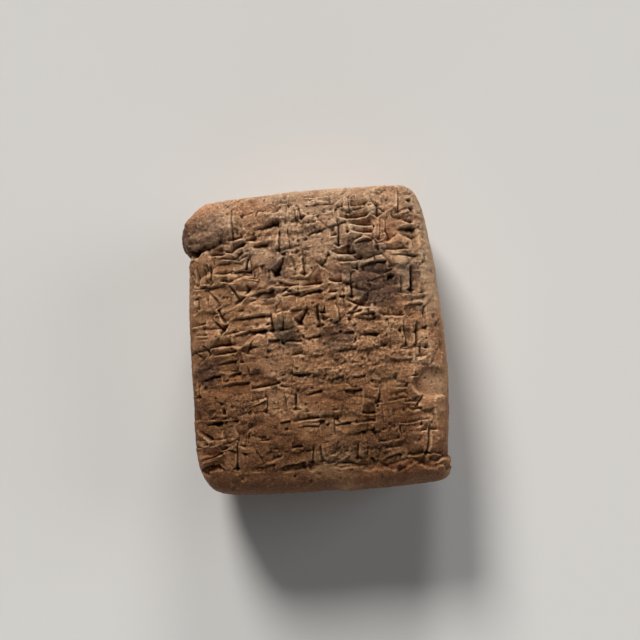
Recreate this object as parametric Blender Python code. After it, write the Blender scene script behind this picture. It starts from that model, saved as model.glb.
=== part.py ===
"""A small clay tablet with rows of plain wedge strokes, lying on its reverse, in metres.

X runs across the tablet, Y from its lower edge to its upper edge, and Z out of the written face.
The origin is under the middle of the tablet, on the surface it lies on.
"""

import math
import random

import bmesh
import bpy
from mathutils import Matrix, Vector

MM = 0.001

# The lump of clay
WIDTH = 45.8 * MM
LENGTH = 53.8 * MM
FACE_RISE = 9.8 * MM  # from the girdle, the widest section, up to the written face
REVERSE_DROP = 10.6 * MM  # from the girdle down to the unflattened reverse
FLAT_CUT = 0.4 * MM  # worn off the reverse, which makes the spot it lies on
THICKNESS = FACE_RISE + REVERSE_DROP - FLAT_CUT
GIRDLE = REVERSE_DROP - FLAT_CUT  # height of the girdle above the spot it lies on

# Half sizes along each edge, as shares of the half width or half length: (middle, lean, bow)
RIGHT_EDGE = (1.0, -0.017, -0.101)
LEFT_EDGE = (0.980, -0.052, -0.023)
UPPER_EDGE = (1.0, 0.004, -0.037)
LOWER_EDGE = (0.996, 0.028, -0.028)

# Squareness of the outline at each corner and of the section at each side: 2 is an ellipse
UPPER_RIGHT, UPPER_LEFT, LOWER_LEFT, LOWER_RIGHT = 18.0, 14.0, 9.0, 30.0
FACE_SQUARENESS = 4.6
FACE_LEAN = 0.9  # squarer at the upper and left edges, rounder at the lower and right ones
REVERSE_SQUARENESS = 3.0

# The fold of clay at the upper left corner: swelling of the edge, cut line and hollow
FOLD_SWELL = 0.55 * MM
FOLD_MIDDLE = 21.0 * MM
FOLD_REACH = 2.6 * MM
FOLD_CUT_X = -13.4 * MM
FOLD_CUT_TOP = 24.6 * MM
FOLD_CUT_LENGTH = 9.0 * MM
FOLD_HOLLOW_HEAD = (-20.6 * MM, 17.3 * MM)
FOLD_HOLLOW_LENGTH = 7.6 * MM

# The pinched lip at the lower right corner, and how far its middle stands above the face
LIP_CENTRE = (20.2 * MM, -22.9 * MM)
LIP_RADII = (1.5 * MM, 2.8 * MM, 2.0 * MM)
LIP_STAND = -1.2 * MM
LIP_TURN = math.radians(-8)

# Hollows pressed into the face: (x, y), radii, and how far the middle stands above the face
SCOOP = ((20.2 * MM, -8.6 * MM), (4.2 * MM, 3.4 * MM, 3.4 * MM), 2.3 * MM)
DENT = ((14.4 * MM, 22.6 * MM), (3.2 * MM, 2.7 * MM, 2.7 * MM), 2.0 * MM)

# Rows of strokes
ROWS = 10
ROW_PITCH = 4.75 * MM
FIRST_ROW_TOP = 25.0 * MM
ROW_GAP = 0.5 * MM
LEFT_MARGIN = -21.6 * MM
RIGHT_MARGIN = 19.4 * MM
STROKE_SEED = 11
DEEP_HEAD = (18.0 * MM, -22.4 * MM)  # the one deep stroke beside the lip

# How much of the clay is cut into quads before it is shaped
STEPS_ACROSS = 18
STEPS_ALONG = 21
STEPS_THROUGH = 8

CLAY_COLOUR = (0.36, 0.22, 0.13, 1.0)


def quadratic(terms, t):
    """Middle value, lean and bow of an edge, at the place t from -1 to 1 along it."""
    return terms[0] + terms[1] * t + terms[2] * t * t


def half_width(side, v):
    """Distance from the middle line to the left or right edge, at v from -1 (low) to 1 (high)."""
    width = WIDTH / 2 * quadratic(RIGHT_EDGE if side > 0 else LEFT_EDGE, v)
    if side < 0:
        width += FOLD_SWELL * math.exp(-(((v * LENGTH / 2 - FOLD_MIDDLE) / FOLD_REACH) ** 2))
    return width


def half_length(side, u):
    """Distance from the middle to the lower or upper edge, at u from -1 (left) to 1 (right)."""
    return LENGTH / 2 * quadratic(UPPER_EDGE if side > 0 else LOWER_EDGE, u)


def outline_size(a, b):
    """1 on the rounded square outline, less inside it: (|a|^k + |b|^k)^(1/k) with k by corner."""
    if b > 0:
        k = UPPER_RIGHT if a > 0 else UPPER_LEFT
    else:
        k = LOWER_RIGHT if a > 0 else LOWER_LEFT
    return (abs(a) ** k + abs(b) ** k) ** (1 / k)


def section_squareness(a, b, c):
    """Exponent of the section's superellipse in the direction (a, b), above or below the girdle."""
    if c < 0:
        return REVERSE_SQUARENESS
    return FACE_SQUARENESS + FACE_LEAN * (b - a) / max(abs(a) + abs(b), 1.0)


def cushion(a, b, c):
    """The clay's surface in the direction (a, b, c): outline_size^p + |c|^p = 1, stretched."""
    p = section_squareness(a, b, c)
    size = (outline_size(a, b) ** p + abs(c) ** p) ** (1 / p)
    a, b, c = a / size, b / size, c / size
    z = c * (FACE_RISE if c > 0 else REVERSE_DROP)
    return Vector((a * half_width(a, b), b * half_length(b, a), GIRDLE + z))


def face_height(x, y):
    """Height of the unwritten face over (x, y): the same superellipse solved for z."""
    a, b = 0.0, 0.0
    for _ in range(4):
        a, b = x / half_width(x, b), y / half_length(y, a)
    p = section_squareness(a, b, 1)
    rest = max(1 - min(outline_size(a, b), 1.0) ** p, 0.0)
    return GIRDLE + FACE_RISE * rest ** (1 / p)


def new_object(name, bm, collection):
    """A mesh object made from bm, which is freed."""
    mesh = bpy.data.meshes.new(name)
    bm.to_mesh(mesh)
    bm.free()
    obj = bpy.data.objects.new(name, mesh)
    collection.objects.link(obj)
    return obj


def as_guide(obj):
    """Show an object that only cuts or joins as wires, and keep it out of renders."""
    obj.hide_render = True
    obj.display_type = "WIRE"
    return obj


def make_clay(collection):
    """The lump: a cube sliced into quads, each corner moved onto the cushion surface."""
    bm = bmesh.new()
    bmesh.ops.create_cube(bm, size=2.0)
    for axis, steps in enumerate((STEPS_ACROSS, STEPS_ALONG, STEPS_THROUGH)):
        for i in range(1, steps):
            place, normal = Vector(), Vector()
            place[axis] = -1 + 2 * i / steps
            normal[axis] = 1
            everything = bm.verts[:] + bm.edges[:] + bm.faces[:]
            bmesh.ops.bisect_plane(bm, geom=everything, plane_co=place, plane_no=normal)
    for vert in bm.verts:
        vert.co = cushion(*vert.co)
    lows = [min(v.co[i] for v in bm.verts) for i in range(2)]
    highs = [max(v.co[i] for v in bm.verts) for i in range(2)]
    middle = Vector(((lows[0] + highs[0]) / 2, (lows[1] + highs[1]) / 2, 0))
    bmesh.ops.translate(bm, verts=bm.verts, vec=-middle)
    return new_object("clay_tablet", bm, collection)


def add_ellipsoid(bm, centre, radii, turn=0.0):
    """A ball stretched to three radii and turned about Z."""
    matrix = Matrix.Translation(centre) @ Matrix.Rotation(turn, 4, "Z") @ Matrix.Diagonal((*radii, 1))
    bmesh.ops.create_uvsphere(bm, u_segments=14, v_segments=10, radius=1.0, matrix=matrix)


def add_stroke(bm, head, angle, length, depth, broad, steep):
    """One stroke as the stylus leaves it: deepest at the head and fading along angle to the tail.

    In the stroke's own axes it is the hull of a flat outline, broad on one side of the ridge and
    steep on the other, the same outline raised clear of the face, and two ridge points below it.
    """
    clear = 0.8 * MM
    turn = math.radians(angle)
    tail = (head[0] + length * math.cos(turn), head[1] + length * math.sin(turn))
    start = Vector((*head, face_height(*head)))
    along = (Vector((*tail, face_height(*tail))) - start).normalized()
    across = Vector((0, 0, 1)).cross(along).normalized()
    up = along.cross(across)
    outline = [(0, -steep), (0, broad), (0.6 * length, 0.55 * broad), (length, 0)]
    points = [(a, b, h) for a, b in outline for h in (0, clear)]
    points += [(0.1 * length, 0, -depth), (0.6 * length, 0, -0.55 * depth)]
    verts = [bm.verts.new(start + a * along + b * across + h * up) for a, b, h in points]
    bmesh.ops.convex_hull(bm, input=verts)


def stroke_rows():
    """Rows of plain strokes, as (head, angle, length, depth, broad, steep).

    Each row is filled from left to right with stacks of level strokes, upright strokes side by
    side, level strokes crossed by an upright one, and slanting corner strokes. None is a sign.
    """
    rng = random.Random(STROKE_SEED)
    strokes = []

    def level(x, y, length):
        strokes.append(((x, y), 180 + rng.uniform(-5, 5), length, 0.65 * MM, -0.95 * MM, -0.25 * MM))

    def upright(x, y, length):
        strokes.append(((x, y), 90 + rng.uniform(-6, 6), length, 0.8 * MM, 0.8 * MM, 0.3 * MM))

    def corner(x, y):
        angle = rng.choice((55, 125)) + rng.uniform(-12, 12)
        strokes.append(((x, y), angle, rng.uniform(2.2, 3.0) * MM, 0.85 * MM, 0.9 * MM, 0.7 * MM))

    height = ROW_PITCH - ROW_GAP
    for row in range(ROWS):
        foot = FIRST_ROW_TOP - (row + 1) * ROW_PITCH + 0.7 * ROW_GAP
        x = LEFT_MARGIN + rng.uniform(0, 1.2) * MM
        while x < RIGHT_MARGIN - 2.0 * MM:
            kind = rng.choice(("stack", "stack", "uprights", "crossed", "corner"))
            span = min(rng.uniform(2.8, 5.2) * MM, RIGHT_MARGIN - x)
            if kind == "stack":
                count = rng.randint(2, 3)
                for i in range(count):
                    y = foot + height * (i + 0.15) / count
                    level(x + span, y, span * rng.uniform(0.8, 1.0))
            elif kind == "uprights":
                span = 3.6 * MM
                for i in range(2):
                    upright(x + (0.7 + 1.8 * i) * MM, foot, height * rng.uniform(0.7, 0.95))
            elif kind == "crossed":
                level(x + span, foot + height * rng.uniform(0.1, 0.6), span)
                upright(x + span * rng.uniform(0.3, 0.7), foot, height * 0.95)
            else:
                span = 3.0 * MM
                corner(x + 1.4 * MM, foot + height * rng.uniform(0.05, 0.35))
            x += span + rng.uniform(0.5, 1.0) * MM
    return strokes


def clear_of_fold(stroke):
    """Whether a stroke keeps off the unwritten fold, the lip and the scoop."""
    x, y = stroke[0]
    on_fold = x < FOLD_CUT_X + 1.0 * MM and y > FOLD_HOLLOW_HEAD[1] - 0.5 * MM
    beside_lip = x > DEEP_HEAD[0] - 2.0 * MM and y < DEEP_HEAD[1] + 7.0 * MM
    in_scoop = x > 16.0 * MM and abs(y - SCOOP[0][1]) < 3.5 * MM
    return not (on_fold or beside_lip or in_scoop)


def make_strokes(collection):
    """All the strokes of the face, with the fold's cut and hollow, as one cutter."""
    bm = bmesh.new()
    for stroke in filter(clear_of_fold, stroke_rows()):
        add_stroke(bm, *stroke)
    add_stroke(bm, DEEP_HEAD, 92, 6.2 * MM, 1.6 * MM, 1.2 * MM, 0.5 * MM)
    cut_foot = (FOLD_CUT_X, FOLD_CUT_TOP - FOLD_CUT_LENGTH)
    add_stroke(bm, cut_foot, 90, FOLD_CUT_LENGTH, 0.9 * MM, 0.35 * MM, 0.25 * MM)
    add_stroke(bm, FOLD_HOLLOW_HEAD, 18, FOLD_HOLLOW_LENGTH, 2.0 * MM, -1.2 * MM, -0.5 * MM)
    bmesh.ops.recalc_face_normals(bm, faces=bm.faces)
    return as_guide(new_object("strokes", bm, collection))


def make_hollows(collection):
    """The scoop in the right edge and the dent in the upper right corner."""
    bm = bmesh.new()
    for (x, y), radii, stand in (SCOOP, DENT):
        add_ellipsoid(bm, (x, y, face_height(x, y) + stand), radii)
    return as_guide(new_object("pressed_hollows", bm, collection))


def make_lip(collection):
    """The pinched lip that stands up at the lower right corner."""
    bm = bmesh.new()
    x, y = LIP_CENTRE
    add_ellipsoid(bm, (x, y, face_height(x, y) + LIP_STAND), LIP_RADII, LIP_TURN)
    return as_guide(new_object("corner_lip", bm, collection))


def make_ground(collection):
    """The block that cuts the reverse off flat, below the height 0."""
    depth = 4 * MM
    bm = bmesh.new()
    matrix = Matrix.Translation((0, 0, -depth / 2)) @ Matrix.Diagonal((1.5 * WIDTH, 1.5 * LENGTH, depth, 1))
    bmesh.ops.create_cube(bm, size=1.0, matrix=matrix)
    return as_guide(new_object("resting_flat", bm, collection))


def boolean(obj, other, operation):
    """Cut or join obj with other, exactly."""
    modifier = obj.modifiers.new(other.name, "BOOLEAN")
    modifier.operation = operation
    modifier.solver = "EXACT"
    modifier.use_self = True
    modifier.object = other


def clay_material():
    """Fired clay: matt light brown."""
    material = bpy.data.materials.new("fired_clay")
    material.use_nodes = True
    shader = material.node_tree.nodes["Principled BSDF"]
    shader.inputs["Base Color"].default_value = CLAY_COLOUR
    shader.inputs["Roughness"].default_value = 0.88
    shader.inputs["Metallic"].default_value = 0.0
    material.diffuse_color = CLAY_COLOUR
    return material


def new_collection(name):
    """A collection linked to the scene."""
    collection = bpy.data.collections.new(name)
    bpy.context.scene.collection.children.link(collection)
    return collection


def main():
    """Shape the clay, join its lip, then press the hollows and strokes and flatten the reverse."""
    for obj in list(bpy.data.objects):
        bpy.data.objects.remove(obj)
    tablet = new_collection("cuneiform_tablet")
    cutters = new_collection("cutters")

    clay = make_clay(tablet)
    clay.data.materials.append(clay_material())
    boolean(clay, make_lip(cutters), "UNION")
    boolean(clay, make_hollows(cutters), "DIFFERENCE")
    boolean(clay, make_strokes(cutters), "DIFFERENCE")
    boolean(clay, make_ground(cutters), "DIFFERENCE")


main()
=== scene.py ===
# A small clay tablet with rows of plain wedge strokes, lying on its reverse.
# The packed clay_tablet stays the body that collides, and the piece made here is the one that shows.
import itertools
import math
import random

import bpy
import numpy as np
from mathutils import Matrix, Vector


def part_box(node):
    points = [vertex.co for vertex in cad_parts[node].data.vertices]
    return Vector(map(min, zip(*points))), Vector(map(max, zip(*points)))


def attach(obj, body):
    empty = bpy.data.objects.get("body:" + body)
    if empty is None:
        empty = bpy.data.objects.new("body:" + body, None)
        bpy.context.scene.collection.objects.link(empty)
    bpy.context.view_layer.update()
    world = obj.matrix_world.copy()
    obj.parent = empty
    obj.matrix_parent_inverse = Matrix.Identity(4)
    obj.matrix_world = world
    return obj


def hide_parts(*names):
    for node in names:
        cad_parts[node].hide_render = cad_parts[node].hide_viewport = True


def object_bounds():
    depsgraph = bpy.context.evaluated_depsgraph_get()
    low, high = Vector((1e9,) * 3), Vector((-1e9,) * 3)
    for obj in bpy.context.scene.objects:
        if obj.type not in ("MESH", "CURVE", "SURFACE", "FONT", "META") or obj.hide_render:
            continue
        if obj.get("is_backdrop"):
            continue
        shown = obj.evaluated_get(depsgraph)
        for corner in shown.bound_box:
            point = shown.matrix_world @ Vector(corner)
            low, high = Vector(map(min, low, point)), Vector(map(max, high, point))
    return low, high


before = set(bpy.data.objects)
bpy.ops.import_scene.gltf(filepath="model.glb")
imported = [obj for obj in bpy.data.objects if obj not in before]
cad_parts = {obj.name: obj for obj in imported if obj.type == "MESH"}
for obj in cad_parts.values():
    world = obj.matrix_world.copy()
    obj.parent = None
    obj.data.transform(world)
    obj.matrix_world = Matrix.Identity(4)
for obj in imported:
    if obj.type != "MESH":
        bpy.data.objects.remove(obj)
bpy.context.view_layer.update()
mm = 0.001
boxLow, boxHigh = (np.array(corner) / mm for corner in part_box("clay_tablet"))
print("frame loaded")

# The lump of clay. Lengths are in mm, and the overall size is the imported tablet's.
clay = {
    "girdle": 10.2,          # height of the widest section
    "flatCut": 0.4,          # worn off the reverse, which makes the spot it lies on
    "rightEdge": (1.0, -0.017, -0.101),         # half sizes along each edge: middle, lean, bow
    "leftEdge": (0.980, -0.052, -0.023),
    "upperEdge": (1.0, 0.004, -0.037),
    "lowerEdge": (0.996, 0.018, -0.033),
    "corners": (18.0, 14.0, 9.0, 30.0),         # squareness, from the upper right counterclockwise
    "faceSquareness": 4.6,
    "faceLean": 0.9,         # squarer in section at the upper and left edges, rounder at the others
    "reverseSquareness": 3.0,
    "foldSwell": (0.55, 21.0, 2.6),             # bulge of the left edge: how much, its middle, its reach
    "faceEdge": 0.55,        # how far down the sides the fine grid comes, as a share of the rise
    "reverseEdge": -0.62,    # where the reverse's own grid begins
    "across": 118,           # coarse steps; the face has twice as many each way
    "along": 137,
    "through": 29,
    "farAway": 1000.0,       # where the reverse lies on the unrolled face, out of all reach
    "map": {                 # two corners of each part on the bake map
        "face": ((0.005, 0.005), (0.745, 0.855)),
        "reverse": ((0.995, 0.005), (0.76, 0.275)),
        "lower": ((0.005, 0.99), (0.45, 0.87)),
        "right": ((0.76, 0.29), (0.87, 0.855)),
        "upper": ((0.47, 0.99), (0.915, 0.87)),
        "left": ((0.885, 0.29), (0.995, 0.855)),
    },
}


# middle + lean * t + bow * t^2
def bowed(terms, t):
    return terms[0] + terms[1] * t + terms[2] * t * t


# The size of the outline through (a, b): (|a|^k + |b|^k)^(1/k), with k the squareness of the nearest corner
def outlineSize(a, b):
    upperRight, upperLeft, lowerLeft, lowerRight = clay["corners"]
    k = np.where(b > 0, np.where(a > 0, upperRight, upperLeft), np.where(a > 0, lowerRight, lowerLeft))
    return (np.abs(a) ** k + np.abs(b) ** k) ** (1 / k)


# The surface in the direction (a, b, c): where outlineSize^p + |c|^p = 1, stretched to the half sizes. The
# left side swells at the fold by S * e^(-((y - middle) / reach)^2).
def cushion(a, b, c):
    lean = clay["faceLean"] * (b - a) / np.maximum(np.abs(a) + np.abs(b), np.abs(c))
    p = np.where(c < 0, clay["reverseSquareness"], clay["faceSquareness"] + lean)
    size = (outlineSize(a, b) ** p + np.abs(c) ** p) ** (1 / p)
    a, b, c = a / size, b / size, c / size
    width, length, height = boxHigh - boxLow
    swell, middle, reach = clay["foldSwell"]
    fold = swell * np.exp(-(((b * length / 2 - middle) / reach) ** 2))
    right = width / 2 * bowed(clay["rightEdge"], b)
    left = width / 2 * bowed(clay["leftEdge"], b) + fold
    upper = length / 2 * bowed(clay["upperEdge"], a)
    lower = length / 2 * bowed(clay["lowerEdge"], a)
    rise = np.where(c > 0, height - clay["girdle"], clay["girdle"] + clay["flatCut"])
    x, y = a * np.where(a > 0, right, left), b * np.where(b > 0, upper, lower)
    return np.stack([x, y, clay["girdle"] + c * rise], axis=-1)


# How far out the cushion is at the height c, or how high it is that far out: (1 - |c|^p)^(1/p)
def reachAt(c, side):
    p = np.where(side > 0, clay["faceSquareness"], clay["reverseSquareness"])
    return (1 - np.abs(c) ** p) ** (1 / p)


# The direction of the place (s, t) of a square patch that ends at the height edge: its border is the
# tablet's outline shrunk, and the lines inside it stay nearly straight
def patchDirection(s, t, edge):
    out = reachAt(edge, edge) * np.maximum(np.abs(s), np.abs(t))
    shrink = out / np.maximum(outlineSize(s, t), 1e-9)
    return s * shrink, t * shrink, np.sign(edge) * reachAt(out, edge)


# The direction at the height c of the column that stands over the place (s, t) of the square's border
def columnDirection(s, t, c):
    shrink = reachAt(c, c) / outlineSize(s, t)
    return s * shrink, t * shrink, c


# Values of t that lie evenly far apart along the curve that toDirection(t) traces on the cushion,
# and how far along it they are
def evenSteps(start, end, count, toDirection):
    t = np.linspace(start, end, 2001)
    steps = np.linalg.norm(np.diff(cushion(*toDirection(t)), axis=0), axis=1)
    run = np.concatenate([[0], np.cumsum(steps)])
    even = np.linspace(0, run[-1], count + 1)
    return np.interp(even, run, t), even


# Grid indices once round the border of a grid, from its lower left corner and counterclockwise
def aroundBorder(wide, high):
    i = np.concatenate([np.arange(wide), np.full(high, wide), np.arange(wide, 0, -1), np.zeros(high, int)])
    j = np.concatenate([np.zeros(wide, int), np.arange(high), np.full(wide, high), np.arange(high, 0, -1)])
    return i, j


# The four corners of every cell of a grid, in order round the cell
def cells(grid):
    return np.stack([grid[:-1, :-1], grid[1:, :-1], grid[1:, 1:], grid[:-1, 1:]], axis=2)


# Places spread evenly over a part's rectangle of the bake map, from one corner to the other
def mapGrid(shape, part):
    start, end = clay["map"][part]
    x = np.linspace(start[0], end[0], shape[0])[:, None] + np.zeros(shape)
    y = np.linspace(start[1], end[1], shape[1])[None, :] + np.zeros(shape)
    return np.stack([x, y], axis=-1)


# The whole surface as one closed box of grids: a fine one for the face, rings half as fine down the
# sides, and a coarse one for the reverse. Every vertex has its direction and its place on the face
# unrolled flat, and every cell its corners and their places on the bake map.
def layOut():
    wide, high, deep = clay["across"], clay["along"], clay["through"]
    top, bottom = clay["faceEdge"], clay["reverseEdge"]
    sFine, uRun = evenSteps(-1, 1, 2 * wide, lambda t: patchDirection(t, 0 * t, top))
    tFine, vRun = evenSteps(-1, 1, 2 * high, lambda t: patchDirection(0 * t, t, top))
    cSide, down = evenSteps(top, bottom, deep, lambda t: columnDirection(0 * t + 1, 0 * t, t))
    sBack, _ = evenSteps(-1, 1, wide, lambda t: patchDirection(t, 0 * t, bottom))
    tBack, _ = evenSteps(-1, 1, high, lambda t: patchDirection(0 * t, t, bottom))
    u, v = uRun - uRun[-1] / 2, vRun - vRun[-1] / 2

    i, j = np.meshgrid(np.arange(2 * wide + 1), np.arange(2 * high + 1), indexing="ij")
    face = i * (2 * high + 1) + j
    directions = [np.stack(patchDirection(sFine[i], tFine[j], top), -1).reshape(-1, 3)]
    places = [np.stack([u[i], v[j]], -1).reshape(-1, 2)]

    i, j = aroundBorder(wide, high)
    columns = len(i)
    border = face[aroundBorder(2 * wide, 2 * high)]
    share = np.linspace(0, 1, deep + 1)[1:, None]   # columns drift from the face's steps to the reverse's
    ringS = (1 - share) * sFine[2 * i] + share * sBack[i]
    ringT = (1 - share) * tFine[2 * j] + share * tBack[j]
    ringC = np.repeat(cSide[1:, None], columns, 1)
    directions.append(np.stack(columnDirection(ringS, ringT, ringC), -1).reshape(-1, 3))
    ringU = u[2 * i] + (1.0 * (i == wide) - (i == 0)) * down[1:, None]
    ringV = v[2 * j] + (1.0 * (j == high) - (j == 0)) * down[1:, None]
    places.append(np.stack([ringU, ringV], -1).reshape(-1, 2))
    rings = face.size + np.arange(deep * columns).reshape(deep, columns)

    back = np.zeros((wide + 1, high + 1), int)
    back[i, j] = rings[-1]
    inner = np.arange((wide - 1) * (high - 1)).reshape(wide - 1, high - 1)
    back[1:-1, 1:-1] = rings[-1, -1] + 1 + inner
    i, j = np.meshgrid(np.arange(1, wide), np.arange(1, high), indexing="ij")
    directions.append(np.stack(patchDirection(sBack[i], tBack[j], bottom), -1).reshape(-1, 3))
    places.append(np.full((inner.size, 2), clay["farAway"]))

    quads = [cells(face).reshape(-1, 4), cells(back).reshape(-1, 4)[:, ::-1]]
    quadMaps = [
        cells(mapGrid(face.shape, "face")).reshape(-1, 4, 2),
        cells(mapGrid(back.shape, "reverse")).reshape(-1, 4, 2)[:, ::-1],
    ]
    triangles, triangleMaps = [], []
    first = 0
    for side, count in (("lower", wide), ("right", high), ("upper", wide), ("left", high)):
        column = first + np.arange(count + 1)
        first += count
        if side in ("right", "left"):   # these stand upright on the map
            spots = mapGrid((deep + 1, count + 1), side)
        else:
            spots = mapGrid((count + 1, deep + 1), side).transpose(1, 0, 2)
        strip = rings[:, column % columns]
        quads.append(cells(strip).reshape(-1, 4))
        quadMaps.append(cells(spots[1:]).reshape(-1, 4, 2))
        # three triangles join two fine steps of the face's border to one coarse step of the first ring
        ends, middles = border[2 * column % len(border)], border[2 * column[:-1] + 1]
        spotMiddles = (spots[0, :-1] + spots[0, 1:]) / 2
        for upper, middle, lower, kept in (
            (ends, middles, strip[0], triangles),
            (spots[0], spotMiddles, spots[1], triangleMaps),
        ):
            kept.append(np.stack([upper[:-1], lower[:-1], middle], 1))
            kept.append(np.stack([middle, lower[:-1], lower[1:]], 1))
            kept.append(np.stack([middle, lower[1:], upper[1:]], 1))
    return {
        "directions": np.concatenate(directions),
        "places": np.concatenate(places),
        "quads": np.concatenate(quads), "quadMaps": np.concatenate(quadMaps),
        "triangles": np.concatenate(triangles), "triangleMaps": np.concatenate(triangleMaps),
        "faceCount": face.size,
    }


layout = layOut()
base = cushion(*layout["directions"].T)
stretch = (boxHigh - boxLow)[:2] / (base.max(0) - base.min(0))[:2]
base[:, :2] = boxLow[:2] + (base - base.min(0))[:, :2] * stretch
base[:, 2] = np.maximum(base[:, 2], 0)
vertexCount, faceCount = len(base), layout["faceCount"]
quads, triangles = layout["quads"], layout["triangles"]
allTriangles = np.concatenate([quads[:, [0, 1, 2]], quads[:, [0, 2, 3]], triangles])
edges = [quads[:, [k, (k + 1) % 4]] for k in range(4)]
edges += [triangles[:, [k, (k + 1) % 3]] for k in range(3)]
edges = np.unique(np.sort(np.concatenate(edges), axis=1), axis=0)
neighbours = np.bincount(edges.ravel(), minlength=vertexCount)


# Unit normal at each vertex: the sum of the area normals of the triangles round it
def normalsOf(points):
    corners = points[allTriangles]
    area = np.cross(corners[:, 1] - corners[:, 0], corners[:, 2] - corners[:, 0])
    total = [np.bincount(allTriangles.ravel(), np.repeat(area[:, k], 3), vertexCount) for k in range(3)]
    total = np.stack(total, axis=1)
    return total / np.linalg.norm(total, axis=1, keepdims=True)


normals = normalsOf(base)
print("lump laid out:", vertexCount, "vertices,", len(allTriangles), "triangles")


# Gradient noise: a fixed random slope at each lattice corner, blended with 6t^5 - 15t^4 + 10t^3
def unevenness(points, size, seed):
    rng = np.random.default_rng(seed)
    order = rng.permutation(256)
    slopes = rng.normal(size=(256, 3))
    slopes /= np.linalg.norm(slopes, axis=1, keepdims=True)
    cell = np.floor(points / size).astype(int)
    part = points / size - cell
    fade = part ** 3 * (part * (part * 6 - 15) + 10)
    total = np.zeros(len(points))
    for step in itertools.product((0, 1), repeat=3):
        x, y, z = ((cell + step) & 255).T
        corner = order[(order[(order[x] + y) & 255] + z) & 255]
        weight = np.where(np.array(step) == 1, fade, 1 - fade).prod(axis=1)
        total += weight * (slopes[corner] * (part - step)).sum(axis=1)
    return 1.6 * total


# Unevenness plus the same at half the size and half the height, and so on
def layers(points, size, seed, count):
    return sum(unevenness(points, size / 2 ** k, seed + k) / 2 ** k for k in range(count))


# Every value moves halfway to the mean of its neighbours on the mesh, this many times over
def evened(values, rounds):
    for _ in range(rounds):
        total = np.bincount(edges[:, 0], values[edges[:, 1]], vertexCount)
        total += np.bincount(edges[:, 1], values[edges[:, 0]], vertexCount)
        values = 0.5 * values + 0.5 * total / neighbours
    return values


# 0 below low, 1 above high, and 3t^2 - 2t^3 between them
def ramp(value, low, high):
    t = np.clip((value - low) / (high - low), 0, 1)
    return t * t * (3 - 2 * t)


# 1 inside an ellipse and 0 outside, with a fall of this share of its radii to each side of its edge
def within(x, y, centre, radii, soft=0.6):
    return 1 - ramp(np.hypot((x - centre[0]) / radii[0], (y - centre[1]) / radii[1]), 1 - soft, 1 + soft)


# The vertex of the face that lies over or under a place
def faceVertex(x, y):
    return np.argmin(np.hypot(base[:faceCount, 0] - x, base[:faceCount, 1] - y))


# The strokes, in rows across the face. Lengths in mm.
strokes = {
    "rows": 10,
    "pitch": 4.75,           # from row to row
    "firstTop": 25.0,
    "gap": 0.5,
    "left": -21.6,
    "right": 19.4,
    "seed": 11,
    "companions": 0.9,       # share of the strokes that have a fainter one beside them
    "olderFacets": 60,
    "facetKinds": (("level", 180), ("level", 175), ("corner", 125), ("corner", 55), ("upright", 90)),
    "plates": (2.8, (3.0, 7.5), 0.42, 0.2),     # from row to row, lengths, how domed, how uneven in height
    "rim": 0.16,             # height of the clay pushed up beside a stroke
    "closing": 0.8,          # how far a stroke closes the ones it lies over
    "rise": 6.0,             # degrees that level strokes rise to the right near the upper left corner
    "wander": ((0.15, 2.6), (0.05, 0.8)),       # how far edges stray, and over what length
    "leftOut": 0.1,          # share of the strokes that are not pressed
    "deep": (                # kind, head, angle, length, depth, width
        ("level", (19.3, -16.2), 183, 9.4, 0.30, 2.4),
        ("upright", (18.1, -22.2), 88, 6.4, 1.1, 0.9),
        ("upright", (18.7, -5.1), 90, 3.0, 1.0, 0.9),
        ("upright", (-21.3, -8.8), 92, 5.2, 1.2, 1.0),
        ("level", (-19.6, -16.4), 142, 3.8, 1.1, 2.6),
        ("level", (5.2, 25.0), 183, 6.0, 0.8, 2.0),
        ("level", (9.6, 23.9), 178, 3.6, 0.7, 1.8),
        ("corner", (14.4, 21.0), 128, 4.4, 1.1, 3.2),
        ("level", (-2.5, 24.6), 186, 5.0, 0.6, 1.8),
        ("upright", (8.4, 21.4), 91, 4.2, 0.8, 1.4),
    ),
}

# What else marks the face. Lengths in mm.
marks = {
    "foldRight": -12.7,      # the folded flap of clay at the upper left corner ends here
    "foldFoot": (18.8, 0.20),                   # height of its lower edge there, and how it slopes
    "foldRise": 0.7,
    "foldKeepOut": (1.0, 16.8),                 # no stroke starts this near its right side and above this
    "foldClear": (3.5, 19.0),                   # the same, for strokes in rows and their companions
    "scoop": ((20.0, -9.9), (3.7, 2.9), 0.95, 0.2, (-0.97, -0.25)),
    "dent": ((15.1, 24.2), (2.5, 1.7), 0.8, 0.12, (-0.85, 0.4)),    # place, radii, depth, brim, steep side
    "lip": ((21.0, -24.2), (2.6, 2.6), 0.75),   # place, radii, height
    "bandSwell": (0.5, -25.3, 1.4),             # how far the smooth band swells, its middle, its reach
    "strip": (19.7, 0.3),    # the smooth strip along the right edge: where it starts, how far it stands
    "ledge": (-23.2, 0.32),  # the smooth band along the lower edge: where it starts, how far it stands
    "pits": 620,
    "chips": 26,
    "eroded": (              # worn patches: place, radii, strength
        ((-3.8, 19.8), (9.0, 5.2), 0.75),
        ((7.6, -4.1), (11.5, 5.5), 0.85),
        ((-2.0, 14.5), (6.0, 2.6), 0.6),
        ((13.0, 1.5), (6.5, 4.5), 0.55),
        ((-12.0, -11.0), (5.0, 2.5), 0.5),
        ((9.0, -20.5), (8.0, 2.0), 0.5),
        ((15.0, 22.8), (3.0, 2.4), 0.6),
        ((-13.0, 24.6), (9.0, 2.0), 0.7),
        ((3.0, 25.6), (7.0, 1.6), 0.5),
        ((19.5, 16.0), (1.6, 8.0), 0.5),
        ((-17.5, 22.0), (5.5, 3.2), 0.6),
        ((-11.2, 20.6), (1.6, 3.4), 0.8),
    ),
}


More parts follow.
